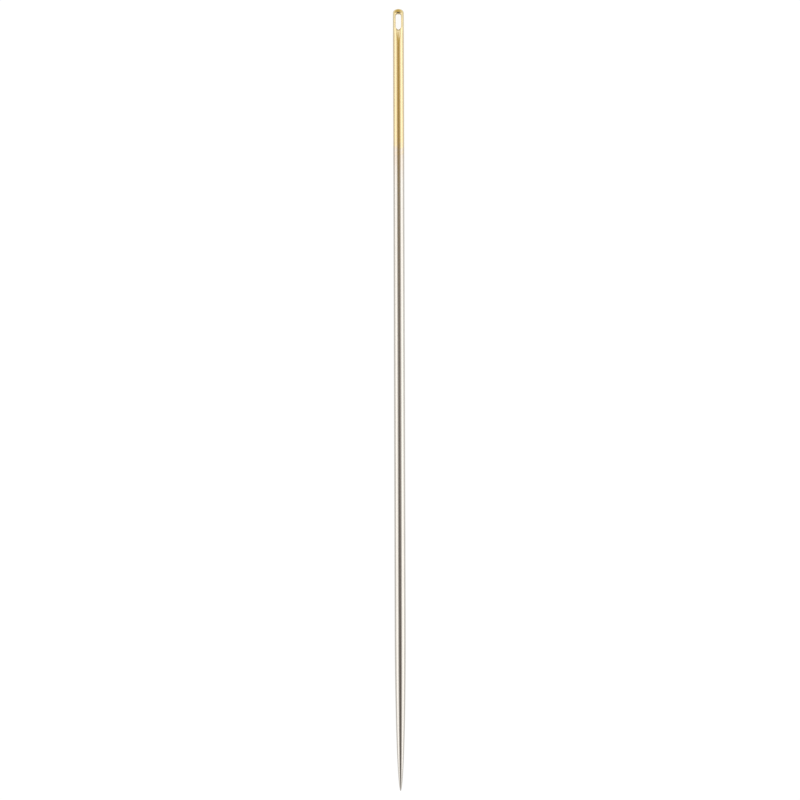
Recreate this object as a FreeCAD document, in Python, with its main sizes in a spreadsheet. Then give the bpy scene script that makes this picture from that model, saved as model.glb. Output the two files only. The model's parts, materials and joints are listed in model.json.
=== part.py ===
import FreeCAD, Part
import os
from math import asin, atan, pi, sin, sqrt

import Sketcher
from FreeCAD import Vector

# Hand sewing needle, drawn from one length of round steel wire.
# The needle's axis is the X axis. The eye is at the -X end, the point at the +X end, and the eye's hole runs
# along Z. The origin is on the axis, halfway along the needle. Sizes are in millimetres.

# Driving dimensions: alias, value in millimetres, and what it measures.
SIZES = (
    ("needle_length", 43.4, "from the top of the crown to the tip of the point"),
    ("wire_diameter", 0.61, "thickness of the shank, the same at the head"),
    ("crown_radius", 0.45, "radius of the domed end above the eye"),
    ("shoulder_radius", 0.2, "radius that rounds the dome into the shank"),
    ("point_length", 9.2, "length over which the wire is ground to a point"),
    ("tip_radius", 0.02, "rounding of the very tip"),
    ("bridge_length", 0.3, "metal between the top of the crown and the eye"),
    ("eye_length", 0.85, "length of the hole along the needle"),
    ("eye_width", 0.3, "width of the hole across the needle"),
    ("eye_corner_radius", 0.09, "corners of the hole at the bridge"),
    ("eye_rim_radius", 0.03, "rounding of the hole's edges along its sides"),
    ("bridge_rim_radius", 0.12, "rounding of the hole's edges at the bridge, where the thread pulls"),
    ("end_rim_radius", 0.18, "rounding of the hole's edges at the middle of its round end"),
    ("gutter_depth", 0.14, "greatest depth of each thread gutter"),
    ("gutter_bottom", 0.4, "from the top of the crown to where the gutters are deepest"),
    ("gutter_reach", 1.05, "how far a gutter runs past the eye, towards the point"),
    ("dip_reach", 0.15, "how far past the eye a gutter's floor still curves upwards"),
    ("gutter_radius", 0.22, "radius of a gutter's round section"),
    ("gutter_lift", 0.01, "height of the gutter's tool above the wire where it leaves it"),
)
# A corner of the eye takes at most this share of the eye's width, so that its straight edges remain.
CORNER_SHARE = 0.45
# A corner of the rim this close to one end of the eye lies on that end.
ON_THE_END = 1e-4
FULL_TURN = 360

# Elements of a sketch that constraints refer to.
START, END, CENTRE = 1, 2, 3
AXIS, SKETCH_UPRIGHT, ORIGIN_POINT = -1, -2, 1


def make_sheet(doc):
    """The spreadsheet that holds the driving dimensions."""
    sheet = doc.addObject("Spreadsheet::Sheet", "sizes")
    for row, (alias, value, meaning) in enumerate(SIZES, start=1):
        sheet.set(f"A{row}", meaning)
        sheet.set(f"B{row}", str(value))
        sheet.setAlias(f"B{row}", alias)
    doc.recompute()
    return sheet


def origin_plane(body, role):
    """One of the body's own origin planes, found by its role."""
    return next(item for item in body.Origin.OriginFeatures if item.Role == role)


def add_sketch(body, name, role):
    """An empty sketch on one of the body's origin planes."""
    sketch = body.newObject("Sketcher::SketchObject", name)
    sketch.AttachmentSupport = (origin_plane(body, role), "")
    sketch.MapMode = "FlatFace"
    return sketch


def constrain(sketch, kind, *parts):
    """Adds a constraint to the sketch."""
    return sketch.addConstraint(Sketcher.Constraint(kind, *parts))


def dimension(sketch, name, rule, kind, *parts):
    """Adds a constraint whose value follows a rule written with the spreadsheet's aliases."""
    constrain(sketch, kind, *parts)
    sketch.renameConstraint(sketch.ConstraintCount - 1, name)
    sketch.setExpression(f"Constraints.{name}", rule)


def wire_blank(body, sheet):
    """The form without the eye: a domed crown, a straight shank and a long elliptical point."""
    radius = sheet.wire_diameter / 2
    sketch = add_sketch(body, "blank_profile", "XZ_Plane")
    dome_centre = Vector(sheet.crown_radius, 0)
    inner = sheet.crown_radius - sheet.shoulder_radius
    rise = radius - sheet.shoulder_radius
    shoulder_centre = Vector(sheet.crown_radius - sqrt(inner**2 - rise**2), rise)
    joint_angle = pi - asin(rise / inner)
    point_start = Vector(sheet.needle_length - sheet.point_length, radius)
    point_centre = Vector(point_start.x, 0)
    tip = Vector(sheet.needle_length, 0)
    tip_centre = Vector(sheet.needle_length - sheet.tip_radius, 0)
    tip_angle = asin(sqrt((sheet.tip_radius / radius) ** 2 - (radius / sheet.point_length) ** 2))
    up = Vector(0, 0, 1)

    dome = sketch.addGeometry(
        Part.ArcOfCircle(Part.Circle(dome_centre, up, sheet.crown_radius), joint_angle, pi)
    )
    shoulder = sketch.addGeometry(
        Part.ArcOfCircle(Part.Circle(shoulder_centre, up, sheet.shoulder_radius), pi / 2, joint_angle)
    )
    shank = sketch.addGeometry(Part.LineSegment(Vector(shoulder_centre.x, radius), point_start))
    point = sketch.addGeometry(
        Part.ArcOfEllipse(Part.Ellipse(point_centre, sheet.point_length, radius), tip_angle, pi / 2)
    )
    tip_end = sketch.addGeometry(
        Part.ArcOfCircle(Part.Circle(tip_centre, up, sheet.tip_radius), 0, pi / 2 - tip_angle)
    )
    middle = sketch.addGeometry(Part.LineSegment(tip, Vector(0, 0)))

    constrain(sketch, "Coincident", dome, END, AXIS, ORIGIN_POINT)
    constrain(sketch, "PointOnObject", dome, CENTRE, AXIS)
    constrain(sketch, "Tangent", dome, START, shoulder, END)
    constrain(sketch, "Tangent", shoulder, START, shank, START)
    constrain(sketch, "Horizontal", shank)
    constrain(sketch, "Tangent", shank, END, point, END)
    constrain(sketch, "PointOnObject", point, CENTRE, AXIS)
    constrain(sketch, "Vertical", point, CENTRE, shank, END)
    constrain(sketch, "Tangent", point, START, tip_end, END)
    constrain(sketch, "PointOnObject", tip_end, CENTRE, AXIS)
    constrain(sketch, "PointOnObject", tip_end, START, AXIS)
    constrain(sketch, "Coincident", middle, START, tip_end, START)
    constrain(sketch, "Coincident", middle, END, AXIS, ORIGIN_POINT)
    dimension(sketch, "crown_radius", "sizes.crown_radius", "Radius", dome, sheet.crown_radius)
    dimension(sketch, "shoulder_radius", "sizes.shoulder_radius", "Radius", shoulder, sheet.shoulder_radius)
    dimension(
        sketch, "wire_radius", "sizes.wire_diameter / 2",
        "DistanceY", AXIS, ORIGIN_POINT, shank, END, radius,
    )
    dimension(sketch, "tip_radius", "sizes.tip_radius", "Radius", tip_end, sheet.tip_radius)
    dimension(
        sketch, "needle_length", "sizes.needle_length",
        "DistanceX", AXIS, ORIGIN_POINT, tip_end, START, sheet.needle_length,
    )
    dimension(
        sketch, "point_length", "sizes.point_length",
        "DistanceX", shank, END, tip_end, START, sheet.point_length,
    )

    blank = body.newObject("PartDesign::Revolution", "wire_blank")
    blank.Profile = sketch
    blank.ReferenceAxis = (sketch, ["H_Axis"])
    blank.Angle = FULL_TURN
    return blank


def ring_sketch(body, name, places, centre_rule, centre_height, radius):
    """
    A round section of the gutter, in a plane across the needle. The sketch's own origin is the point that
    the cutting tool turns about, at the height and place along the needle that places gives.
    """
    sketch = add_sketch(body, name, "YZ_Plane")
    height, along = places
    sketch.setExpression("AttachmentOffset.Base.y", height)
    sketch.setExpression("AttachmentOffset.Base.z", along)
    ring = sketch.addGeometry(Part.Circle(Vector(0, centre_height), Vector(0, 0, 1), radius))
    constrain(sketch, "PointOnObject", ring, CENTRE, SKETCH_UPRIGHT)
    dimension(sketch, "gutter_radius", "sizes.gutter_radius", "Radius", ring, radius)
    lower, upper = ((AXIS, ORIGIN_POINT), (ring, CENTRE))
    if centre_height < 0:
        lower, upper = upper, lower
    dimension(sketch, "turning_radius", centre_rule, "DistanceY", *lower, *upper, abs(centre_height))
    return sketch


def turned_cut(body, name, sketch, turn, back_turn):
    """A cut made by turning the sketch's section about its origin, one way and then the other."""
    cut = body.newObject("PartDesign::Groove", name)
    cut.Profile = sketch
    cut.ReferenceAxis = (sketch, ["H_Axis"])
    cut.Type = "TwoAngles"
    cut.setExpression("Angle", turn)
    cut.setExpression("Angle2", back_turn)
    return cut


def thread_gutter(body, sheet):
    """
    The gutter that lets the thread lie within the wire's thickness, on the upper side of the head.
    Its floor runs out level with the wire towards the point, dips to its full depth near the bridge
    and runs on over the crown. Both bends have the same slope where they meet, just past the eye.
    """
    rise_length = sheet.bridge_length + sheet.eye_length - sheet.gutter_bottom
    slope = 2 * atan((sheet.gutter_depth + sheet.gutter_lift) / (rise_length + sheet.gutter_reach))
    dip_radius = (rise_length + sheet.dip_reach) / sin(slope)
    hump_radius = (sheet.gutter_reach - sheet.dip_reach) / sin(slope)

    rise_rule = "(sizes.bridge_length + sizes.eye_length - sizes.gutter_bottom)"
    slope_rule = f"2 * atan((sizes.gutter_depth + sizes.gutter_lift) / ({rise_rule} + sizes.gutter_reach))"
    dip_rule = f"({rise_rule} + sizes.dip_reach) / sin({slope_rule})"
    hump_rule = f"(sizes.gutter_reach - sizes.dip_reach) / sin({slope_rule})"
    over_crown_rule = f"asin(sizes.gutter_bottom / ({dip_rule}))"

    dip_section = ring_sketch(
        body, "dip_section",
        (f"sizes.wire_diameter / 2 - sizes.gutter_depth + {dip_rule}", "sizes.gutter_bottom"),
        f"{dip_rule} - sizes.gutter_radius", sheet.gutter_radius - dip_radius, sheet.gutter_radius,
    )
    dip = turned_cut(body, "upper_gutter_dip", dip_section, over_crown_rule, slope_rule)

    hump_section = ring_sketch(
        body, "run_out_section",
        (
            f"sizes.wire_diameter / 2 + sizes.gutter_lift - {hump_rule}",
            "sizes.bridge_length + sizes.eye_length + sizes.gutter_reach",
        ),
        f"{hump_rule} + sizes.gutter_radius", hump_radius + sheet.gutter_radius, sheet.gutter_radius,
    )
    hump = turned_cut(body, "upper_gutter_run_out", hump_section, "0", slope_rule)
    return dip, hump


def mirrored_gutter(body, cuts):
    """The same gutter on the lower side of the head."""
    mirror = body.newObject("PartDesign::Mirrored", "lower_gutter")
    mirror.Originals = list(cuts)
    mirror.MirrorPlane = (origin_plane(body, "XY_Plane"), [""])
    body.Tip = mirror
    return mirror


def punched_eye(body, sheet):
    """The eye's hole, nearly square at the bridge and round towards the point."""
    half = sheet.eye_width / 2
    corner = min(sheet.eye_corner_radius, sheet.eye_width * CORNER_SHARE)
    near = sheet.bridge_length
    far = near + sheet.eye_length
    up = Vector(0, 0, 1)

    sketch = add_sketch(body, "eye_outline", "XY_Plane")
    bridge_edge = sketch.addGeometry(
        Part.LineSegment(Vector(near, half - corner), Vector(near, corner - half))
    )
    left_corner = sketch.addGeometry(
        Part.ArcOfCircle(Part.Circle(Vector(near + corner, half - corner), up, corner), pi / 2, pi)
    )
    right_corner = sketch.addGeometry(
        Part.ArcOfCircle(Part.Circle(Vector(near + corner, corner - half), up, corner), pi, 3 * pi / 2)
    )
    left_side = sketch.addGeometry(Part.LineSegment(Vector(far - half, half), Vector(near + corner, half)))
    right_side = sketch.addGeometry(Part.LineSegment(Vector(near + corner, -half), Vector(far - half, -half)))
    right_end = sketch.addGeometry(
        Part.ArcOfCircle(Part.Circle(Vector(far - half, 0), up, half), -pi / 2, 0)
    )
    left_end = sketch.addGeometry(
        Part.ArcOfCircle(Part.Circle(Vector(far - half, 0), up, half), 0, pi / 2)
    )
    constrain(sketch, "Tangent", left_corner, END, bridge_edge, START)
    constrain(sketch, "Tangent", bridge_edge, END, right_corner, START)
    constrain(sketch, "Tangent", left_side, END, left_corner, START)
    constrain(sketch, "Tangent", right_corner, END, right_side, START)
    constrain(sketch, "Tangent", right_side, END, right_end, START)
    constrain(sketch, "Tangent", right_end, END, left_end, START)
    constrain(sketch, "Tangent", left_end, END, left_side, START)
    constrain(sketch, "Horizontal", left_side)
    constrain(sketch, "PointOnObject", right_end, CENTRE, AXIS)
    constrain(sketch, "PointOnObject", right_end, END, AXIS)
    constrain(sketch, "Equal", left_corner, right_corner)
    dimension(
        sketch, "corner_radius", f"min(sizes.eye_corner_radius; sizes.eye_width * {CORNER_SHARE})",
        "Radius", left_corner, corner,
    )
    dimension(sketch, "half_width", "sizes.eye_width / 2", "Radius", right_end, half)
    dimension(
        sketch, "bridge_length", "sizes.bridge_length",
        "DistanceX", AXIS, ORIGIN_POINT, bridge_edge, START, near,
    )
    dimension(
        sketch, "round_end_place", "sizes.bridge_length + sizes.eye_length - sizes.eye_width / 2",
        "DistanceX", AXIS, ORIGIN_POINT, right_end, CENTRE, far - half,
    )

    eye = body.newObject("PartDesign::Pocket", "eye")
    eye.Profile = sketch
    eye.Type = "ThroughAll"
    eye.SideType = "Symmetric"
    return eye


def is_eye_wall(face):
    """Whether a face is a wall of the eye: the only faces that are flat, or round about an upright axis."""
    surface = face.Surface
    if isinstance(surface, Part.Plane):
        return True
    return isinstance(surface, Part.Cylinder) and abs(surface.Axis.z) > abs(surface.Axis.x)


def rim_radius(sheet, corner):
    """How far the eye's rim is rounded at a corner of it: most at the two ends of the eye."""
    along = corner.X + sheet.needle_length / 2 - sheet.bridge_length
    if along < ON_THE_END:
        return sheet.bridge_rim_radius
    if along > sheet.eye_length - ON_THE_END:
        return sheet.end_rim_radius
    return sheet.eye_rim_radius


def rim_rounding(shape, sheet, side):
    """The edges of the eye's upper (1) or lower (-1) rim: the number and both end radii of each."""
    rounding = []
    for number, edge in enumerate(shape.Edges, start=1):
        faces = shape.ancestorsOfType(edge, Part.Face)
        walls = sum(is_eye_wall(face) for face in faces)
        if walls == 1 and edge.CenterOfMass.z * side > 0:
            radii = [rim_radius(sheet, corner) for corner in (edge.lastVertex(), edge.firstVertex())]
            rounding.append((number, *radii))
    return rounding


def rounded_rim(doc, name, base, sheet, side):
    """The needle with one more rim of its eye rounded. The radius grows smoothly towards the eye's ends."""
    rim = doc.addObject("Part::Fillet", name)
    rim.Base = base
    rim.Edges = rim_rounding(base.Shape, sheet, side)
    doc.recompute()
    return rim


def check(doc):
    """Stops the build if any object failed."""
    for item in doc.Objects:
        faults = {"Invalid", "Error"} & set(item.State)
        if faults:
            raise RuntimeError(f"{item.Name} failed: {item.State}")


def check_cut(before, after, name):
    """Stops the build if a cut took nothing away."""
    if after.Shape.Volume >= before.Shape.Volume:
        raise RuntimeError(f"{name} cuts nothing")


def make_needle(doc, sheet):
    """The needle: one solid."""
    body = doc.addObject("PartDesign::Body", "punched_needle")
    body.setExpression("Placement.Base.x", "-sizes.needle_length / 2")

    blank = wire_blank(body, sheet)
    doc.recompute()
    dip, run_out = thread_gutter(body, sheet)
    doc.recompute()
    check_cut(blank, dip, "the upper gutter's dip")
    check_cut(dip, run_out, "the upper gutter's run-out")
    lower = mirrored_gutter(body, (dip, run_out))
    doc.recompute()
    check_cut(run_out, lower, "the lower gutter")
    eye = punched_eye(body, sheet)
    doc.recompute()
    check_cut(lower, eye, "the eye")
    upper_rim = rounded_rim(doc, "upper_rim", body, sheet, 1)
    check_cut(eye, upper_rim, "the rounding of the eye's upper rim")
    needle = rounded_rim(doc, "needle", upper_rim, sheet, -1)
    check_cut(upper_rim, needle, "the rounding of the eye's lower rim")
    return needle


def write_parts(parts):
    """Writes each sub-part to a file named after it, once its shape is one sound solid."""
    os.makedirs("parts", exist_ok=True)
    for part in parts:
        shape = part.Shape
        if shape.isNull() or not shape.isValid() or len(shape.Solids) != 1:
            raise RuntimeError(f"{part.Label} isn't one sound solid")
        shape.exportStep(f"parts/{part.Label}.step")
        box = shape.optimalBoundingBox(False)
        print(
            f"{part.Label}: {shape.Volume:.4f} mm3, {len(shape.Faces)} faces,"
            f" {box.XLength:.3f} x {box.YLength:.3f} x {box.ZLength:.3f} mm"
        )


def main():
    doc = FreeCAD.newDocument("sewing_needle")
    sheet = make_sheet(doc)
    needle = make_needle(doc, sheet)
    check(doc)
    write_parts([needle])


main()
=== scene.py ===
import json
from math import asin, atan, cos, pi, radians, sin, sqrt, tan

import bmesh
import bpy
import numpy as np
from bpy.props import FloatProperty, FloatVectorProperty, PointerProperty
from bpy.types import Operator, Panel, PropertyGroup
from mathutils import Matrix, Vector


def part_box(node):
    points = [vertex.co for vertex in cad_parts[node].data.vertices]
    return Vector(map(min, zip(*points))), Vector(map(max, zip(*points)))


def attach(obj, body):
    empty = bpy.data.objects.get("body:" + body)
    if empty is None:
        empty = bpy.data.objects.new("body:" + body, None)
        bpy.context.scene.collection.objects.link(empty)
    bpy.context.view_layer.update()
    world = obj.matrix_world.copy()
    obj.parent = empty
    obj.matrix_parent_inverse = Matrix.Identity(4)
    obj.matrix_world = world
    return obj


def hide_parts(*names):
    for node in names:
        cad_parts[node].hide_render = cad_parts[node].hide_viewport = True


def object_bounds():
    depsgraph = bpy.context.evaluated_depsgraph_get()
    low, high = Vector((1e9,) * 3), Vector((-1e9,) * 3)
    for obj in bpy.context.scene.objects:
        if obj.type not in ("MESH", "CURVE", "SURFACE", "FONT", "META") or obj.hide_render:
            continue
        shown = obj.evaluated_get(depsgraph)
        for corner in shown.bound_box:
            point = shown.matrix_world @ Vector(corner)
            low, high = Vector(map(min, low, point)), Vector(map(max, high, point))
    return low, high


bl_info = {
    "name": "Hand sewing needle",
    "version": (1, 0, 0),
    "blender": (4, 5, 0),
    "location": "3D View > Sidebar > Needle",
    "description": "Makes a sewing needle with a gilded eye, and the white table that it lies on",
    "category": "Add Mesh",
}

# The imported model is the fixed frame. It is loaded first, because the needle's main sizes come from it.
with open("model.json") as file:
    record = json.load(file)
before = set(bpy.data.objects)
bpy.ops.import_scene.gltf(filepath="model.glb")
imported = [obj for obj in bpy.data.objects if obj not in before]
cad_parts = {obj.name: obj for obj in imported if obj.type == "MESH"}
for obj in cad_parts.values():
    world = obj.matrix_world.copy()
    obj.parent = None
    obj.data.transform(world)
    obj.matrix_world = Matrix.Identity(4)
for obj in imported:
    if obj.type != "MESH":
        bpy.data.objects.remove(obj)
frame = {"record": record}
CAD_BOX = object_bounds()
NEEDLE_LOW, NEEDLE_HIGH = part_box("needle")
SHANK = next(mount for mount in frame["record"]["mounts"] if mount["name"] == "shank")

# The needle lies along the X axis with its crown towards -X, and the hole of its eye runs along Z.
MM = 0.001

# How finely the needle's surface is divided, in a quarter of its section.
STEPS_ON_BRIDGE = 10
STEPS_ON_CORNER = 16
STEPS_ON_EYE_SIDE = 24
STEPS_PAST_EYE = 6
STEPS_ON_QUARTER = 32
STEPS_ON_WALL = 6
STEPS_ON_RIM = 12
STEPS_OVER_HEAD = 30
STEPS_ON_RUN_OUT = 48
STEPS_ON_SHANK = 44
STEPS_ON_POINT = 72
STEPS_ON_TIP = 8
# How many samples an edge is measured with before it is divided into equal lengths.
SAMPLES_ON_SPOKE = 400
SAMPLES_ON_CROWN = 2000
# How often the search for the place where the rim's rounding meets the outside is repeated.
CONTACT_TURNS = 12
# Half the distance over which a slope is measured.
SLOPE_STEP = 2e-6
# Points closer together than this are made one.
MERGE_DISTANCE = 2e-8

# Where the ring of the head's grid ends, past the eye, and where the close rings end, past a gutter.
HEAD_PAST_EYE = 0.35 * MM
RINGS_PAST_GUTTER = 0.1 * MM
# Where a gutter's flatter section over the bridge ends, past the bridge, and over what length it changes.
SADDLE_END = 0.24 * MM
SADDLE_BLEND = 0.40 * MM

# From where to where, counted from the crown, the rubbed gilding ends.
RUBBED_FROM = 1.1 * MM
RUBBED_TO = 1.5 * MM
# The range in which most values of a noise texture lie.
NOISE_RANGE = (0.3, 0.7)
# How fine the mottled edge of the gilding is, and how far it wanders to each side.
MOTTLE_SCALE = 3200.0
MOTTLE_REACH = 0.45 * MM
# The lines that polishing leaves: how fine they are along the needle and across it, how far they change the
# roughness to each side, and how strong and high their relief is.
POLISH_SCALE = (450.0, 52000.0, 52000.0)
POLISH_SPREAD = 0.04
POLISH_STRENGTH = 0.12
POLISH_HEIGHT = 0.000004
COAT_ROUGHNESS = 0.12

TABLE_SIZE = 3.0
TABLE_ROUGHNESS = 0.9
# Strength of the light table's glow where the camera sees it: just enough for white.
TABLE_GLOW_SEEN = 1.075
# How far to each side of the needle the mirrored glow still changes; this glow is a painted reflection.
TABLE_PAINTED_REFLECTION_FADE = 0.002

HOOD_WIDTH = 0.7
HOOD_LENGTH = 1.4
HOOD_PLACE = (0, -0.012, 0.30)
# Between which two places along the hood its colours change, and where each colour lies between them. These
# colours are painted reflections, each placed where a part of the needle mirrors it.
HOOD_RUN = (-0.32, 0.05)
HOOD_STOPS = (0.53, 0.64, 0.72, 0.757, 0.81, 1.0)
# Between which two places the hood turns bright: to both sides, on the left, beyond the eye, at its end. This
# brightness is painted reflection too, since the hood shows only in the metal.
HOOD_TO_SIDES = (0.02, 0.35)
HOOD_TO_LEFT = (-0.01, -0.07)
HOOD_BEYOND_EYE = (-0.075, -0.105)
HOOD_AT_END = (-0.155, -0.185)
HOOD_BRIGHTNESS = 1.15

LAMP_LENGTH = 0.7
LAMP_WIDTH = 0.26
LAMP_ASIDE = 0.36
LAMP_HEIGHT = 0.20

SENSOR_WIDTH = 36
CLIP_START = 0.001
CLIP_END = 10

# Places of the colour mix node's two colours among its inputs, and of the colour among its outputs.
MIX_COLOURS = (6, 7)
MIX_RESULT = 2


class NeedleSizes(PropertyGroup):
    length: FloatProperty(
        name="Length", description="From the top of the crown to the tip of the point",
        default=NEEDLE_HIGH.x - NEEDLE_LOW.x, unit="LENGTH", precision=5,
    )
    wire_diameter: FloatProperty(
        name="Wire thickness", description="Thickness of the shank, the same at the head",
        default=2 * SHANK["dims"]["r_mm"] * MM, unit="LENGTH", precision=5,
    )
    crown_radius: FloatProperty(
        name="Crown radius", description="Radius of the domed end above the eye",
        default=0.45 * MM, unit="LENGTH", precision=5,
    )
    shoulder_radius: FloatProperty(
        name="Shoulder radius", description="Radius that rounds the dome into the shank",
        default=0.2 * MM, unit="LENGTH", precision=5,
    )
    point_length: FloatProperty(
        name="Point length", description="Length over which the wire is ground to a point",
        default=9.2 * MM, unit="LENGTH", precision=5,
    )
    tip_radius: FloatProperty(
        name="Tip radius", description="Rounding of the very tip",
        default=0.02 * MM, unit="LENGTH", precision=5,
    )
    bridge_length: FloatProperty(
        name="Bridge", description="Metal between the top of the crown and the eye",
        default=0.3 * MM, unit="LENGTH", precision=5,
    )
    eye_length: FloatProperty(
        name="Eye length", description="Length of the hole along the needle",
        default=0.85 * MM, unit="LENGTH", precision=5,
    )
    eye_width: FloatProperty(
        name="Eye width", description="Width of the hole across the needle",
        default=0.3 * MM, unit="LENGTH", precision=5,
    )
    eye_corner_radius: FloatProperty(
        name="Eye corners", description="Corners of the hole at the bridge",
        default=0.09 * MM, unit="LENGTH", precision=5,
    )
    eye_rim_radius: FloatProperty(
        name="Eye rim", description="Rounding of the hole's edges along its sides",
        default=0.03 * MM, unit="LENGTH", precision=5,
    )
    bridge_rim_radius: FloatProperty(
        name="Bridge rim", description="Rounding of the hole's edges at the bridge, where the thread pulls",
        default=0.12 * MM, unit="LENGTH", precision=5,
    )
    end_rim_radius: FloatProperty(
        name="End rim", description="Rounding of the hole's edges at the middle of its round end",
        default=0.18 * MM, unit="LENGTH", precision=5,
    )
    end_rim_stretch: FloatProperty(
        name="End rim stretch", description="How much longer than deep the rounding at the round end is",
        default=1.15, min=1,
    )
    gutter_depth: FloatProperty(
        name="Gutter depth", description="Greatest depth of each thread gutter",
        default=0.14 * MM, unit="LENGTH", precision=5,
    )
    gutter_bottom: FloatProperty(
        name="Gutter bottom", description="From the top of the crown to where the gutters are deepest",
        default=0.4 * MM, unit="LENGTH", precision=5,
    )
    gutter_reach: FloatProperty(
        name="Gutter reach", description="How far a gutter runs past the eye, towards the point",
        default=1.05 * MM, unit="LENGTH", precision=5,
    )
    dip_reach: FloatProperty(
        name="Dip reach", description="How far past the eye a gutter's floor still curves upwards",
        default=0.15 * MM, unit="LENGTH", precision=5,
    )
    gutter_radius: FloatProperty(
        name="Gutter radius", description="Radius of a gutter's round section",
        default=0.22 * MM, unit="LENGTH", precision=5,
    )
    saddle_radius: FloatProperty(
        name="Saddle radius", description="Radius of a gutter's flatter section where it crosses the bridge",
        default=1.0 * MM, unit="LENGTH", precision=5,
    )
    saddle_slope: FloatProperty(
        name="Saddle slope", description="How much the gutter's floor falls towards the crown over the bridge",
        default=radians(1.5), subtype="ANGLE",
    )
    gutter_lift: FloatProperty(
        name="Gutter lift", description="Height of the gutter's tool above the wire where it leaves it",
        default=0.01 * MM, unit="LENGTH", precision=5,
    )
    edge_softness: FloatProperty(
        name="Edge softness", description="Width over which polishing has softened the gutters' edges",
        default=0.024 * MM, unit="LENGTH", precision=5,
    )


class NeedleFinish(PropertyGroup):
    steel_colour: FloatVectorProperty(
        name="Steel", description="Colour of the nickelled steel",
        subtype="COLOR", size=3, min=0, max=1, default=(0.62, 0.585, 0.535),
    )
    steel_roughness: FloatProperty(
        name="Steel roughness", description="Roughness of the polished steel",
        subtype="FACTOR", min=0, max=1, default=0.18,
    )
    gold_colour: FloatVectorProperty(
        name="Gold", description="Colour of the gilding",
        subtype="COLOR", size=3, min=0, max=1, default=(0.70, 0.555, 0.305),
    )
    gold_roughness: FloatProperty(
        name="Gold roughness", description="Roughness of the gilding",
        subtype="FACTOR", min=0, max=1, default=0.20,
    )
    stain_colour: FloatVectorProperty(
        name="Stain", description="Colour where the gilding fades out over the steel",
        subtype="COLOR", size=3, min=0, max=1, default=(0.615, 0.535, 0.45),
    )
    rubbed_colour: FloatVectorProperty(
        name="Rubbed gold", description="Paler colour of the gilding where thread has rubbed it, at the eye",
        subtype="COLOR", size=3, min=0, max=1, default=(0.77, 0.635, 0.345),
    )
    gold_length: FloatProperty(
        name="Gilded length", description="From the crown to the middle of the gilding's mottled edge",
        default=7.65 * MM, unit="LENGTH", precision=5,
    )
    gold_fade: FloatProperty(
        name="Gilding fade", description="Length over which the gilding ends",
        default=0.5 * MM, unit="LENGTH", precision=5,
    )
    stain_length: FloatProperty(
        name="Stain length", description="How far the stain reaches past the gilding",
        default=2.4 * MM, unit="LENGTH", precision=5,
    )


class NeedleStage(PropertyGroup):
    camera_height: FloatProperty(
        name="Camera height", description="Height of the camera above the needle's axis",
        default=0.150, unit="LENGTH",
    )
    frame_width: FloatProperty(
        name="Frame width", description="Width of the picture at the needle's axis",
        default=44.4 * MM, unit="LENGTH",
    )
    camera_roll: FloatProperty(
        name="Camera roll", description="How far the needle leans in the picture",
        default=radians(0.172), subtype="ANGLE",
    )
    camera_aside: FloatProperty(
        name="Camera aside", description="How far the camera stands to the right of the needle's axis",
        default=0.028 * MM, unit="LENGTH", precision=5,
    )
    table_colour: FloatVectorProperty(
        name="Table", description="Colour of the white light table",
        subtype="COLOR", size=3, min=0, max=1, default=(0.9, 0.9, 0.9),
    )
    table_glow: FloatProperty(
        name="Table glow",
        description="How much of the table's white comes from inside it, which weakens shadows",
        subtype="FACTOR", min=0, max=1, default=0.85,
    )
    # Painted reflection: the metal shows the table's glow weaker than the camera does, and weaker on the left
    # than on the right, which darkens the needle's edges.
    table_painted_reflection_left: FloatProperty(
        name="Mirrored table, left",
        description="Strength of the table's glow where the needle's left side mirrors it",
        default=0.80, min=0,
    )
    table_painted_reflection_right: FloatProperty(
        name="Mirrored table, right",
        description="Strength of the table's glow where the right side mirrors it",
        default=0.92, min=0,
    )
    left_lamp_level: FloatProperty(
        name="Left lamp",
        description="What the left soft lamp adds to the room behind it, where 1 shows as white",
        default=0.66, min=0,
    )
    right_lamp_level: FloatProperty(
        name="Right lamp", description="What the right soft lamp adds to the room behind it",
        default=0.75, min=0,
    )
    sky_level: FloatProperty(
        name="Room level", description="Brightness of the light that the room gives to matt surfaces",
        default=0.75, min=0,
    )
    # The hood's colours are painted reflections: the hood glows only where the metal mirrors it, and each
    # colour is set for the part of the needle that mirrors it.
    hood_painted_dark_colour: FloatVectorProperty(
        name="Hood", description="Colour of the hood's dark middle, which the point mirrors",
        subtype="COLOR", size=3, min=0, max=1, default=(0.12, 0.10, 0.085),
    )
    # Painted reflection: this middle is not lit; its glow gives the upper shank's dark middle band its colour.
    hood_painted_shank_colour: FloatVectorProperty(
        name="Lit hood", description="Colour of the hood's middle that the upper shank mirrors",
        subtype="COLOR", size=3, min=0, max=1, default=(0.20, 0.178, 0.17),
    )
    hood_painted_far_colour: FloatVectorProperty(
        name="Hood beyond", description="Colour of the hood beyond the eye, towards its edge",
        subtype="COLOR", size=3, min=0, max=1, default=(0.70, 0.58, 0.22),
    )
    # Painted reflection: no warm light comes in here; this warm glow gives the gilding's dark middle band its
    # colour.
    hood_painted_warm_colour: FloatVectorProperty(
        name="Hood end", description="Colour of the hood's end above the eye, where warm light comes in",
        subtype="COLOR", size=3, min=0, max=1, default=(0.66, 0.415, 0.04),
    )


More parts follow.
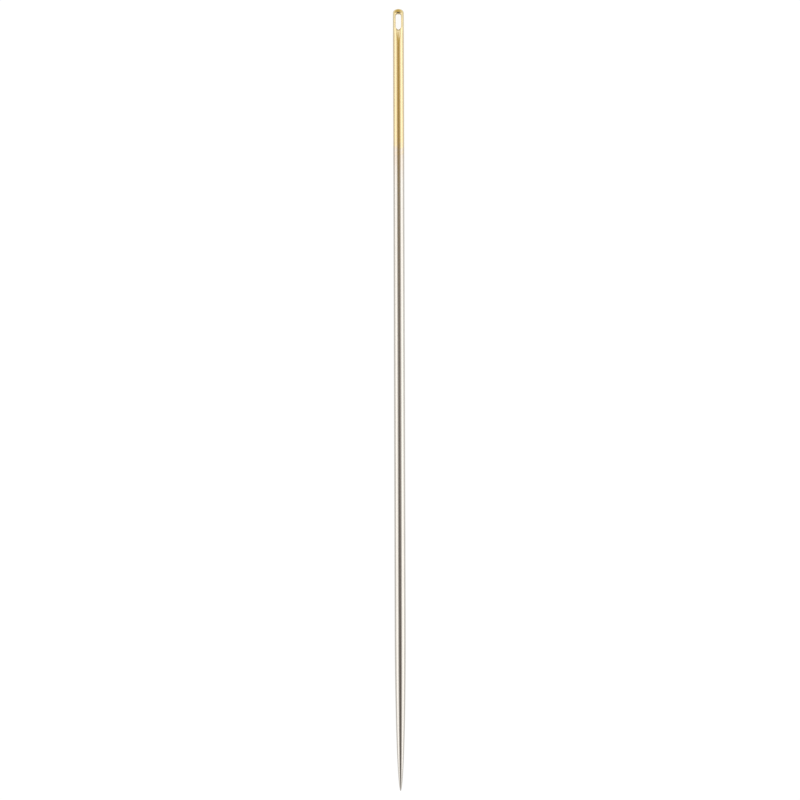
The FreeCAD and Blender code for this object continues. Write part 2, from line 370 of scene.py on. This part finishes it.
class NeedleForm:
    """
    The needle's form, worked out from its sizes. Lengths along it are counted from the top of the crown,
    and widths and heights from its axis.
    """

    def __init__(self, sizes):
        self.sizes = sizes
        radius = self.radius = sizes.wire_diameter / 2

        rise = radius - sizes.shoulder_radius
        inner = sizes.crown_radius - sizes.shoulder_radius
        self.shoulder_end = sizes.crown_radius - sqrt(inner**2 - rise**2)
        self.dome_end = sizes.crown_radius - sizes.crown_radius * cos(asin(rise / inner))

        self.point_start = sizes.length - sizes.point_length
        reach = sizes.point_length - sizes.tip_radius
        self.ellipse_reach = sqrt(radius**2 + reach**2 / (1 - (sizes.tip_radius / radius) ** 2))
        self.tip_place = reach * self.ellipse_reach**2 / (self.ellipse_reach**2 - radius**2)
        self.tip_start = self.point_start + self.tip_place

        self.eye_end = sizes.bridge_length + sizes.eye_length
        rise_length = self.eye_end - sizes.gutter_bottom
        climb = sizes.gutter_depth + sizes.gutter_lift
        self.slope = 2 * atan(climb / (rise_length + sizes.gutter_reach))
        self.dip_radius = (rise_length + sizes.dip_reach) / sin(self.slope)
        self.hump_radius = (sizes.gutter_reach - sizes.dip_reach) / sin(self.slope)
        self.dip_height = radius - sizes.gutter_depth + self.dip_radius
        self.gutter_end = self.eye_end + sizes.gutter_reach
        self.hump_height = radius + sizes.gutter_lift - self.hump_radius

    def wire_radius(self, along):
        """Radius of the uncut wire."""
        sizes = self.sizes
        shoulder_height = self.radius - sizes.shoulder_radius
        from_tip = sizes.length - along
        dome = np.sqrt(np.maximum(along * (2 * sizes.crown_radius - along), 0))
        shoulder = shoulder_height + np.sqrt(
            np.maximum(sizes.shoulder_radius**2 - (self.shoulder_end - along) ** 2, 0)
        )
        point = self.radius * np.sqrt(
            np.maximum(1 - ((along - self.point_start) / self.ellipse_reach) ** 2, 0)
        )
        tip = np.sqrt(np.maximum(from_tip * (2 * sizes.tip_radius - from_tip), 0))
        ends = (self.dome_end, self.shoulder_end, self.point_start, self.tip_start)
        return np.select([along < end for end in ends], [dome, shoulder, self.radius, point], tip)

    def section_radius(self, along):
        """Radius of the thread gutter's section: round beside the eye, and flatter over the bridge."""
        sizes = self.sizes
        share = np.clip((sizes.bridge_length + SADDLE_END - along) / SADDLE_BLEND, 0, 1)
        growth = sizes.saddle_radius - sizes.gutter_radius
        return sizes.gutter_radius + growth * share**2 * (3 - 2 * share)

    def gutter_height(self, along, across):
        """
        Height of the thread gutter's surface: a section that dips along one arc and runs out along another.
        From its deepest place to the crown the floor falls by the saddle's slope.
        """
        section = self.section_radius(along)
        drop = section - np.sqrt(np.maximum(section**2 - across**2, 0))
        before = np.maximum(self.sizes.gutter_bottom - along, 0)
        past = np.maximum(along - self.sizes.gutter_bottom, 0)
        dip = self.dip_height - before * tan(self.sizes.saddle_slope) - np.sqrt(
            np.maximum((self.dip_radius - drop) ** 2 - past**2, 0)
        )
        run_out = self.hump_height + np.sqrt(
            np.maximum((self.hump_radius + drop) ** 2 - (along - self.gutter_end) ** 2, 0)
        )
        dips = along - self.sizes.gutter_bottom <= tan(self.slope) * (self.dip_height - dip)
        inside = (np.abs(across) < section) & (along < self.gutter_end)
        return np.where(inside, np.where(dips, dip, run_out), 2 * self.radius)

    def height(self, along, across):
        """Height of the upper surface: the lower of wire and gutter, with a softened edge where they meet."""
        wire = np.sqrt(np.maximum(self.wire_radius(along) ** 2 - across**2, 0))
        gutter = self.gutter_height(along, across)
        left = np.clip((self.gutter_end - along) / self.sizes.gutter_reach, 0, 1)
        softness = self.sizes.edge_softness * left + self.sizes.gutter_lift * (1 - left)
        share = np.maximum(softness - np.abs(wire - gutter), 0) / softness
        return np.minimum(wire, gutter) - share**2 * softness / 4


def arc_points(centre, radius, first, last, steps):
    """Points and outward directions along an arc in the plane, with the end points."""
    angles = np.linspace(first, last, steps + 1)
    normals = np.column_stack((np.cos(angles), np.sin(angles)))
    return np.asarray(centre) + radius * normals, normals


def line_points(first, last, steps):
    """Evenly spaced points along a line in the plane, with the end points."""
    return np.linspace(first, last, steps + 1)


def spaced_by_length(points, steps):
    """The same path, divided into equal lengths."""
    lengths = np.linalg.norm(np.diff(points, axis=0), axis=1)
    travelled = np.concatenate(([0], np.cumsum(lengths)))
    stops = np.linspace(0, travelled[-1], steps + 1)
    return np.column_stack([np.interp(stops, travelled, column) for column in points.T])


def smooth_steps(first, last, steps):
    """Values that leave the first and reach the last without a jump in their growth."""
    share = np.linspace(0, 1, steps + 1)
    return first + (last - first) * share**2 * (3 - 2 * share)


def half_eye_outline(form):
    """
    Half of the eye's outline, from the middle of the bridge to the middle of the round end: its points, the
    directions away from the hole, how deep the rim is rounded there, and how much longer than deep.
    """
    sizes = form.sizes
    half, corner = sizes.eye_width / 2, sizes.eye_corner_radius
    near, round_place = sizes.bridge_length, form.eye_end - half
    end_steps = STEPS_PAST_EYE + STEPS_ON_QUARTER
    bridge = line_points((near, 0), (near, half - corner), STEPS_ON_BRIDGE)
    turn, turn_normals = arc_points((near + corner, half - corner), corner, pi, pi / 2, STEPS_ON_CORNER)
    side = line_points((near + corner, half), (round_place, half), STEPS_ON_EYE_SIDE)
    end, end_normals = arc_points((round_place, 0), half, pi / 2, 0, end_steps)
    points = np.concatenate((bridge, turn[1:], side[1:], end[1:]))
    normals = np.concatenate((
        np.tile((-1.0, 0.0), (STEPS_ON_BRIDGE, 1)),
        turn_normals,
        np.tile((0.0, 1.0), (STEPS_ON_EYE_SIDE, 1)),
        end_normals[1:],
    ))
    # The bridge's rim dwindles round the corner and a little past it. On the round end the rim grows only
    # past its sides, so that it stays inside the gutter.
    past_corner = STEPS_ON_EYE_SIDE // 4
    waiting = end_steps // 3
    rims = np.concatenate((
        np.full(STEPS_ON_BRIDGE, sizes.bridge_rim_radius),
        smooth_steps(sizes.bridge_rim_radius, sizes.eye_rim_radius, STEPS_ON_CORNER + past_corner),
        np.full(STEPS_ON_EYE_SIDE - past_corner + waiting, sizes.eye_rim_radius),
        smooth_steps(sizes.eye_rim_radius, sizes.end_rim_radius, end_steps - waiting)[1:],
    ))
    before_end = np.ones(len(points) - end_steps + waiting)
    growing = smooth_steps(1, sizes.end_rim_stretch, end_steps - waiting)[1:]
    stretches = np.concatenate((before_end, growing))
    return points, normals, rims, stretches


def half_head_outline(form):
    """The outer edge of a quarter of the head, seen from above: crown, side, then back over the shank."""
    sizes = form.sizes
    side_start = sizes.bridge_length + sizes.eye_corner_radius
    side_end = form.eye_end - sizes.eye_width / 2
    head_end = form.eye_end + HEAD_PAST_EYE
    # Crowded towards the crown's top, where the outline is steepest.
    along = side_start * np.linspace(0, 1, SAMPLES_ON_CROWN) ** 2
    dome = np.column_stack((along, form.wire_radius(along)))
    crown = spaced_by_length(dome, STEPS_ON_BRIDGE + STEPS_ON_CORNER)
    side = line_points((side_start, form.radius), (side_end, form.radius), STEPS_ON_EYE_SIDE)
    wait = line_points((side_end, form.radius), (head_end, form.radius), STEPS_PAST_EYE)
    angles = np.linspace(0, pi / 2, STEPS_ON_QUARTER + 1)
    over = np.column_stack((np.full(angles.size, head_end), form.radius * np.cos(angles)))
    return np.concatenate((crown, side[1:], wait[1:], over[1:]))


def rim_contact(form, place, normal, rim, stretch):
    """
    Where the rounding of the eye's rim meets the outside: how far from the wall, at what height, and the
    angle that is left there of the quarter turn that the rounding makes.
    """
    def height_at(distance):
        return float(form.height(*(place + normal * distance)))

    reach = rim * stretch
    for _ in range(CONTACT_TURNS):
        rise = height_at(reach + SLOPE_STEP) - height_at(reach - SLOPE_STEP)
        left = atan(stretch * rise / (2 * SLOPE_STEP))
        reach = rim * stretch * (1 - sin(left))
    return reach, height_at(reach), left


def head_grid(form):
    """A quarter of the head as a grid: up the eye's wall, round its rim and over the head to its outline."""
    columns = []
    outline = half_head_outline(form)
    past_side = len(outline) - STEPS_ON_QUARTER
    for place, normal, rim, stretch, edge in zip(*half_eye_outline(form), outline):
        reach, height, left = rim_contact(form, place, normal, rim, stretch)
        rim_height = height - rim * cos(left)
        wall = [(*place, rim_height * step / STEPS_ON_WALL) for step in range(STEPS_ON_WALL + 1)]
        bend = []
        for step in range(1, STEPS_ON_RIM):
            angle = pi - (pi / 2 - left) * step / STEPS_ON_RIM
            out = rim * stretch * (1 + cos(angle))
            bend.append((*(place + normal * out), rim_height + rim * sin(angle)))

        start = place + normal * reach
        share = 1 - (1 - np.linspace(0, 1, SAMPLES_ON_SPOKE)) ** 2
        spoke = start + share[:, None] * (edge - start)
        spoke = np.column_stack((spoke, form.height(spoke[:, 0], spoke[:, 1])))
        over = spaced_by_length(spoke, STEPS_OVER_HEAD)
        if len(columns) < past_side:
            over[-1, 2] = 0
        columns.append(np.concatenate((wall, bend, over)))
    return np.array(columns)


def ring_grid(form, stops):
    """A quarter of the needle's surface from stop to stop, in rings."""
    angles = np.linspace(0, pi / 2, STEPS_ON_QUARTER + 1)
    rings = []
    for stop in stops:
        across = form.wire_radius(stop) * np.cos(angles)
        ring = np.column_stack((np.full(angles.size, stop), across, form.height(stop, across)))
        ring[0, 2] = 0
        ring[-1, 1] = 0
        rings.append(ring)
    return np.array(rings)


def ring_stops(form):
    """Where the rings lie: close together in the gutter's run-out and towards the tip."""
    sizes = form.sizes
    head_end = form.eye_end + HEAD_PAST_EYE
    run_out_end = form.gutter_end + RINGS_PAST_GUTTER
    gutter = np.linspace(head_end, run_out_end, STEPS_ON_RUN_OUT + 1)
    shank = np.linspace(run_out_end, form.point_start, STEPS_ON_SHANK + 1)
    steepest = np.arccos(form.tip_place / form.ellipse_reach)
    point_angles = np.linspace(pi / 2, steepest, STEPS_ON_POINT + 1)
    point = form.point_start + form.ellipse_reach * np.cos(point_angles)
    tip_start_angle = np.arccos((form.tip_start - sizes.length + sizes.tip_radius) / sizes.tip_radius)
    tip_angles = np.linspace(tip_start_angle, 0, STEPS_ON_TIP + 1)
    tip = sizes.length - sizes.tip_radius * (1 - np.cos(tip_angles))
    return np.concatenate((gutter, shank[1:], point[1:], tip[1:]))


def add_grid(mesh, grid, mirror):
    """Adds a grid of points as quads, mirrored across the needle where mirror says so."""
    rows, columns, _ = grid.shape
    corners = [[mesh.verts.new(Vector(point) * mirror) for point in row] for row in grid]
    turned = mirror.y * mirror.z < 0
    for row in range(rows - 1):
        for column in range(columns - 1):
            loop = [
                corners[row][column], corners[row][column + 1],
                corners[row + 1][column + 1], corners[row + 1][column],
            ]
            mesh.faces.new(reversed(loop) if turned else loop)


def needle_mesh(form):
    """The whole needle's mesh: one quarter, and its three mirror images."""
    mesh = bmesh.new()
    grids = (head_grid(form), ring_grid(form, ring_stops(form)))
    for across in (1, -1):
        for up in (1, -1):
            for grid in grids:
                add_grid(mesh, grid, Vector((1, across, up)))
    bmesh.ops.remove_doubles(mesh, verts=mesh.verts, dist=MERGE_DISTANCE)
    bmesh.ops.dissolve_degenerate(mesh, edges=mesh.edges, dist=MERGE_DISTANCE)
    bmesh.ops.recalc_face_normals(mesh, faces=mesh.faces)
    bmesh.ops.translate(mesh, verts=mesh.verts, vec=(-form.sizes.length / 2, 0, 0))
    data = bpy.data.meshes.new("sewing_needle")
    mesh.to_mesh(data)
    mesh.free()
    data.shade_smooth()
    return data


def add_node(tree, kind, place, **settings):
    """A new node, with its settings and the values of its unlinked sockets."""
    node = tree.nodes.new(kind)
    node.location = place
    for name, value in settings.items():
        if name == "values":
            for socket, content in value.items():
                node.inputs[socket].default_value = content
        else:
            setattr(node, name, value)
    return node


def rgba(colour):
    """The colour with full opacity."""
    return (*colour, 1.0)


def joined(tree, place, operation, first, second):
    """Two nodes' outputs joined by an operation, as one new output."""
    node = add_node(tree, "ShaderNodeMath", place, operation=operation)
    tree.links.new(first, node.inputs[0])
    tree.links.new(second, node.inputs[1])
    return node.outputs[0]


def ranged(tree, place, source, ends=(0.0, 1.0), results=(0.0, 1.0), smooth=False):
    """An output that passes from one result to the other while the source passes between the ends."""
    node = add_node(
        tree, "ShaderNodeMapRange", place, interpolation_type="SMOOTHSTEP" if smooth else "LINEAR",
        values={"From Min": ends[0], "From Max": ends[1], "To Min": results[0], "To Max": results[1]},
    )
    tree.links.new(source, node.inputs["Value"])
    return node.outputs[0]


def colour_mix(tree, place, share, *colours):
    """A mix of two colours by a share. Each colour is another node's output, or a plain one."""
    node = add_node(tree, "ShaderNodeMix", place, data_type="RGBA", clamp_result=False)
    tree.links.new(share, node.inputs[0])
    for socket, colour in zip(MIX_COLOURS, colours):
        if isinstance(colour, bpy.types.NodeSocket):
            tree.links.new(colour, node.inputs[socket])
        else:
            node.inputs[socket].default_value = rgba(colour)
    return node.outputs[MIX_RESULT]


def plated_material(finish, sizes):
    """Polished nickelled steel, gilded at the head, with a mottled and stained edge between them."""
    material = bpy.data.materials.new("gilded_and_nickelled_plate")
    material.use_nodes = True
    tree = material.node_tree
    link = tree.links.new
    shader = tree.nodes["Principled BSDF"]
    shader.inputs["Metallic"].default_value = 1.0

    place = add_node(tree, "ShaderNodeTexCoord", (-1800, 0))
    parts = add_node(tree, "ShaderNodeSeparateXYZ", (-1600, 200))
    link(place.outputs["Object"], parts.inputs["Vector"])
    counted = add_node(tree, "ShaderNodeMath", (-1400, 200), operation="ADD", values={1: sizes.length / 2})
    link(parts.outputs["X"], counted.inputs[0])
    from_crown = counted.outputs[0]

    mottle = add_node(
        tree, "ShaderNodeTexNoise", (-1400, 0),
        values={"Scale": MOTTLE_SCALE, "Detail": 4.0, "Roughness": 0.6},
    )
    link(place.outputs["Object"], mottle.inputs["Vector"])
    shift = ranged(tree, (-1200, 0), mottle.outputs["Fac"], NOISE_RANGE, (-MOTTLE_REACH, MOTTLE_REACH))
    ragged = joined(tree, (-1000, 150), "ADD", from_crown, shift)

    gold_ends = (finish.gold_length - finish.gold_fade, finish.gold_length + finish.gold_fade)
    gilded = ranged(tree, (-800, 200), ragged, gold_ends, (1.0, 0.0), smooth=True)
    stain_ends = (finish.gold_length, finish.gold_length + finish.stain_length)
    stained = ranged(tree, (-800, -60), ragged, stain_ends, (1.0, 0.0), smooth=True)
    # Thread rubs the gilding paler at the eye.
    rubbed = ranged(tree, (-800, 460), from_crown, (RUBBED_FROM, RUBBED_TO), (1.0, 0.0), smooth=True)

    tinted = colour_mix(tree, (-560, 0), stained, finish.steel_colour, finish.stain_colour)
    gilding = colour_mix(tree, (-560, 300), rubbed, finish.gold_colour, finish.rubbed_colour)
    link(colour_mix(tree, (-340, 100), gilded, tinted, gilding), shader.inputs["Base Color"])

    stretch = add_node(tree, "ShaderNodeMapping", (-1600, -400), values={"Scale": POLISH_SCALE})
    link(place.outputs["Object"], stretch.inputs["Vector"])
    lines = add_node(
        tree, "ShaderNodeTexNoise", (-1400, -400), values={"Scale": 1.0, "Detail": 5.0, "Roughness": 0.65}
    )
    link(stretch.outputs[0], lines.inputs["Vector"])

    roughnesses = (finish.steel_roughness, finish.gold_roughness)
    sheen = ranged(tree, (-560, -260), gilded, results=roughnesses)
    spread = ranged(tree, (-1000, -300), lines.outputs["Fac"], NOISE_RANGE, (-POLISH_SPREAD, POLISH_SPREAD))
    link(joined(tree, (-340, -260), "ADD", sheen, spread), shader.inputs["Roughness"])

    link(gilded, shader.inputs["Coat Weight"])
    shader.inputs["Coat Roughness"].default_value = COAT_ROUGHNESS

    bump = add_node(
        tree, "ShaderNodeBump", (-340, -460), values={"Strength": POLISH_STRENGTH, "Distance": POLISH_HEIGHT}
    )
    link(lines.outputs["Fac"], bump.inputs["Height"])
    link(bump.outputs[0], shader.inputs["Normal"])
    return material


class SEWING_NEEDLE_OT_make_needle(Operator):
    """Makes the needle: crown, eye, thread gutters, shank and point, with its gilding and polish"""

    bl_idname = "sewing_needle.make_needle"
    bl_label = "Make Needle"

    def execute(self, context):
        sizes = context.scene.needle_sizes
        needle = bpy.data.objects.new("sewing_needle", needle_mesh(NeedleForm(sizes)))
        context.collection.objects.link(needle)
        needle.data.materials.append(plated_material(context.scene.needle_finish, sizes))
        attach(needle, "root")
        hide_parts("needle")
        return {"FINISHED"}


def card_object(context, name, width, length, place):
    """A flat card that faces up, for the table and the hood."""
    data = bpy.data.meshes.new(name)
    x, y = length / 2, width / 2
    data.from_pydata([(-x, -y, 0), (x, -y, 0), (x, y, 0), (-x, y, 0)], [], [(0, 1, 2, 3)])
    card = bpy.data.objects.new(name, data)
    card.location = place
    context.collection.objects.link(card)
    return card


def seen_ray(tree, left):
    """A mask of the rays that show a surface: the camera's own, and those by way of metal or glass."""
    path = add_node(tree, "ShaderNodeLightPath", (left, -200)).outputs
    mirrored = joined(tree, (left + 200, -200), "MAXIMUM", path["Is Camera Ray"], path["Is Glossy Ray"])
    return joined(tree, (left + 400, -200), "MAXIMUM", mirrored, path["Is Transmission Ray"])


def table_material(stage):
    """Matt white that also glows from inside where it is looked at, as a light table does. The metal mirrors a
    weaker glow, weaker still on the needle's left: a painted reflection that darkens the needle's edges.
    """
    material = bpy.data.materials.new("white_table")
    material.use_nodes = True
    tree = material.node_tree
    link = tree.links.new
    shader = tree.nodes["Principled BSDF"]
    shader.inputs["Base Color"].default_value = rgba(stage.table_colour)
    shader.inputs["Roughness"].default_value = TABLE_ROUGHNESS
    shader.inputs["Specular IOR Level"].default_value = 0.0

    place = add_node(tree, "ShaderNodeTexCoord", (-1100, -750))
    parts = add_node(tree, "ShaderNodeSeparateXYZ", (-900, -750))
    link(place.outputs["Object"], parts.inputs[0])
    # Painted reflection: the glow that the metal mirrors, weaker than the camera's and weaker on the needle's
    # left.
    painted_reflection_levels = (stage.table_painted_reflection_left, stage.table_painted_reflection_right)
    mirrored = ranged(tree, (-700, -750), parts.outputs["Y"], (-TABLE_PAINTED_REFLECTION_FADE, TABLE_PAINTED_REFLECTION_FADE), painted_reflection_levels)

    path = add_node(tree, "ShaderNodeLightPath", (-700, -500))
    strength = add_node(tree, "ShaderNodeMapRange", (-400, -500), values={"To Max": TABLE_GLOW_SEEN})
    link(path.outputs["Is Camera Ray"], strength.inputs["Value"])
    link(mirrored, strength.inputs["To Min"])
    glow = add_node(tree, "ShaderNodeEmission", (-100, -500))
    link(strength.outputs[0], glow.inputs["Strength"])

    share = ranged(tree, (-100, -200), seen_ray(tree, -700), results=(0.0, stage.table_glow))
    both = add_node(tree, "ShaderNodeMixShader", (300, -200))
    link(share, both.inputs[0])
    link(shader.outputs[0], both.inputs[1])
    link(glow.outputs[0], both.inputs[2])
    link(both.outputs[0], tree.nodes["Material Output"].inputs["Surface"])
    return material


def painted_reflection_hood_material(stage):
    """
    Dim over the needle, warmer above its eye and bright towards the sides: a glow that only the metal shows,
    painted as the reflections that the needle should show. It also turns bright on the left beyond the eye,
    and at its end.
    """
    material = bpy.data.materials.new("hood_painted_reflection")
    material.use_nodes = True
    tree = material.node_tree
    tree.nodes.clear()
    link = tree.links.new
    place = add_node(tree, "ShaderNodeTexCoord", (-900, 0))
    parts = add_node(tree, "ShaderNodeSeparateXYZ", (-700, 0))
    link(place.outputs["Object"], parts.inputs[0])
    along, across = parts.outputs["X"], parts.outputs["Y"]

    # Painted reflection colours along the hood, each set for the part of the needle that mirrors it.
    middle = add_node(tree, "ShaderNodeValToRGB", (-340, -260))
    colours = (
        stage.hood_painted_far_colour, stage.hood_painted_far_colour, stage.hood_painted_warm_colour,
        stage.hood_painted_shank_colour, stage.hood_painted_shank_colour, stage.hood_painted_dark_colour,
    )
    ramp = middle.color_ramp.elements
    while len(ramp) < len(colours):
        ramp.new(0.5)
    for element, position, colour in zip(ramp, HOOD_STOPS, colours):
        element.position = position
        element.color = rgba(colour)
    link(ranged(tree, (-520, -260), along, HOOD_RUN), middle.inputs[0])

    aside = add_node(tree, "ShaderNodeMath", (-520, 0), operation="ABSOLUTE")
    link(across, aside.inputs[0])
    sides = ranged(tree, (-340, 0), aside.outputs[0], HOOD_TO_SIDES, smooth=True)
    left = ranged(tree, (-520, 260), across, HOOD_TO_LEFT, smooth=True)
    beyond = ranged(tree, (-520, 520), along, HOOD_BEYOND_EYE, smooth=True)
    end = ranged(tree, (-520, 780), along, HOOD_AT_END, smooth=True)
    # Painted reflection: bright on the left beyond the eye and at the hood's end, for the head to mirror.
    painted_bright_left = joined(tree, (-340, 400), "MULTIPLY", left, beyond)
    ends = joined(tree, (-240, 520), "MAXIMUM", painted_bright_left, end)
    bright = joined(tree, (-140, 260), "MAXIMUM", sides, ends)

    shade = colour_mix(tree, (-140, 0), bright, middle.outputs[0], (HOOD_BRIGHTNESS,) * 3)
    glow = add_node(tree, "ShaderNodeEmission", (60, 0))
    link(shade, glow.inputs["Color"])
    out = add_node(tree, "ShaderNodeOutputMaterial", (260, 0))
    link(glow.outputs[0], out.inputs["Surface"])
    return material


def soft_lamp(context, name, side, level):
    """A long soft box beside the needle, aimed at it. Its level is its own brightness, where 1 is white."""
    lamp = bpy.data.lights.new(name, "AREA")
    lamp.shape = "RECTANGLE"
    lamp.size, lamp.size_y = LAMP_LENGTH, LAMP_WIDTH
    lamp.energy = level * pi * lamp.size * lamp.size_y
    box = bpy.data.objects.new(name, lamp)
    box.location = (0, side * LAMP_ASIDE, LAMP_HEIGHT)
    box.rotation_euler = Vector(box.location).to_track_quat("Z", "X").to_euler()
    context.collection.objects.link(box)
    return box


def white_room(context, stage):
    """A room that shows white to the camera and in the metal, and lights matt surfaces at its own level."""
    world = bpy.data.worlds.new("white_room")
    context.scene.world = world
    world.use_nodes = True
    tree = world.node_tree
    background = tree.nodes["Background"]
    background.inputs["Color"].default_value = (1, 1, 1, 1)
    level = ranged(tree, (-300, 0), seen_ray(tree, -900), results=(stage.sky_level, 1.0))
    tree.links.new(level, background.inputs["Strength"])


def straight_down_camera(context, stage):
    """The camera above the needle, with the eye at the top of the picture."""
    data = bpy.data.cameras.new("camera")
    data.sensor_width = SENSOR_WIDTH
    data.lens = data.sensor_width * stage.camera_height / stage.frame_width
    data.clip_start, data.clip_end = CLIP_START, CLIP_END
    camera = bpy.data.objects.new("camera", data)
    camera.location = (0, stage.camera_aside, stage.camera_height)
    camera.rotation_euler = (0, 0, radians(90) - stage.camera_roll)
    context.collection.objects.link(camera)
    context.scene.camera = camera


class SEWING_NEEDLE_OT_make_stage(Operator):
    """Makes the white table, the hood, the soft lamps, the white room and the camera"""

    bl_idname = "sewing_needle.make_stage"
    bl_label = "Make Stage"

    def execute(self, context):
        stage = context.scene.needle_stage
        context.scene.view_settings.view_transform = "Standard"
        table = card_object(context, "table", TABLE_SIZE, TABLE_SIZE, (0, 0, CAD_BOX[0].z))
        table.data.materials.append(table_material(stage))
        hood = card_object(context, "hood", HOOD_WIDTH, HOOD_LENGTH, HOOD_PLACE)
        hood.data.materials.append(painted_reflection_hood_material(stage))
        # The hood shows only in the metal and casts no shadow: its glow is painted reflection on the needle.
        hood.visible_camera = hood.visible_diffuse = hood.visible_shadow = False
        soft_lamp(context, "lamp_left", -1, stage.left_lamp_level)
        soft_lamp(context, "lamp_right", 1, stage.right_lamp_level)
        white_room(context, stage)
        straight_down_camera(context, stage)
        return {"FINISHED"}


class SEWING_NEEDLE_PT_maker(Panel):
    """The needle's sizes and finish, and the buttons that make it"""

    bl_idname = "SEWING_NEEDLE_PT_maker"
    bl_label = "Sewing Needle"
    bl_space_type = "VIEW_3D"
    bl_region_type = "UI"
    bl_category = "Needle"

    def draw(self, context):
        layout = self.layout
        scene = context.scene
        for title, group, button in (
            ("Sizes", scene.needle_sizes, None),
            ("Finish", scene.needle_finish, SEWING_NEEDLE_OT_make_needle),
            ("Stage", scene.needle_stage, SEWING_NEEDLE_OT_make_stage),
        ):
            column = layout.box().column(align=True)
            column.label(text=title)
            for name in group.__annotations__:
                column.prop(group, name)
            if button:
                column.operator(button.bl_idname)


CLASSES = (
    NeedleSizes,
    NeedleFinish,
    NeedleStage,
    SEWING_NEEDLE_OT_make_needle,
    SEWING_NEEDLE_OT_make_stage,
    SEWING_NEEDLE_PT_maker,
)


def register():
    for item in CLASSES:
        bpy.utils.register_class(item)
    bpy.types.Scene.needle_sizes = PointerProperty(type=NeedleSizes)
    bpy.types.Scene.needle_finish = PointerProperty(type=NeedleFinish)
    bpy.types.Scene.needle_stage = PointerProperty(type=NeedleStage)


def unregister():
    del bpy.types.Scene.needle_sizes
    del bpy.types.Scene.needle_finish
    del bpy.types.Scene.needle_stage
    for item in reversed(CLASSES):
        bpy.utils.unregister_class(item)


def main():
    register()
    bpy.ops.sewing_needle.make_stage()
    bpy.ops.sewing_needle.make_needle()


if __name__ == "__main__":
    main()
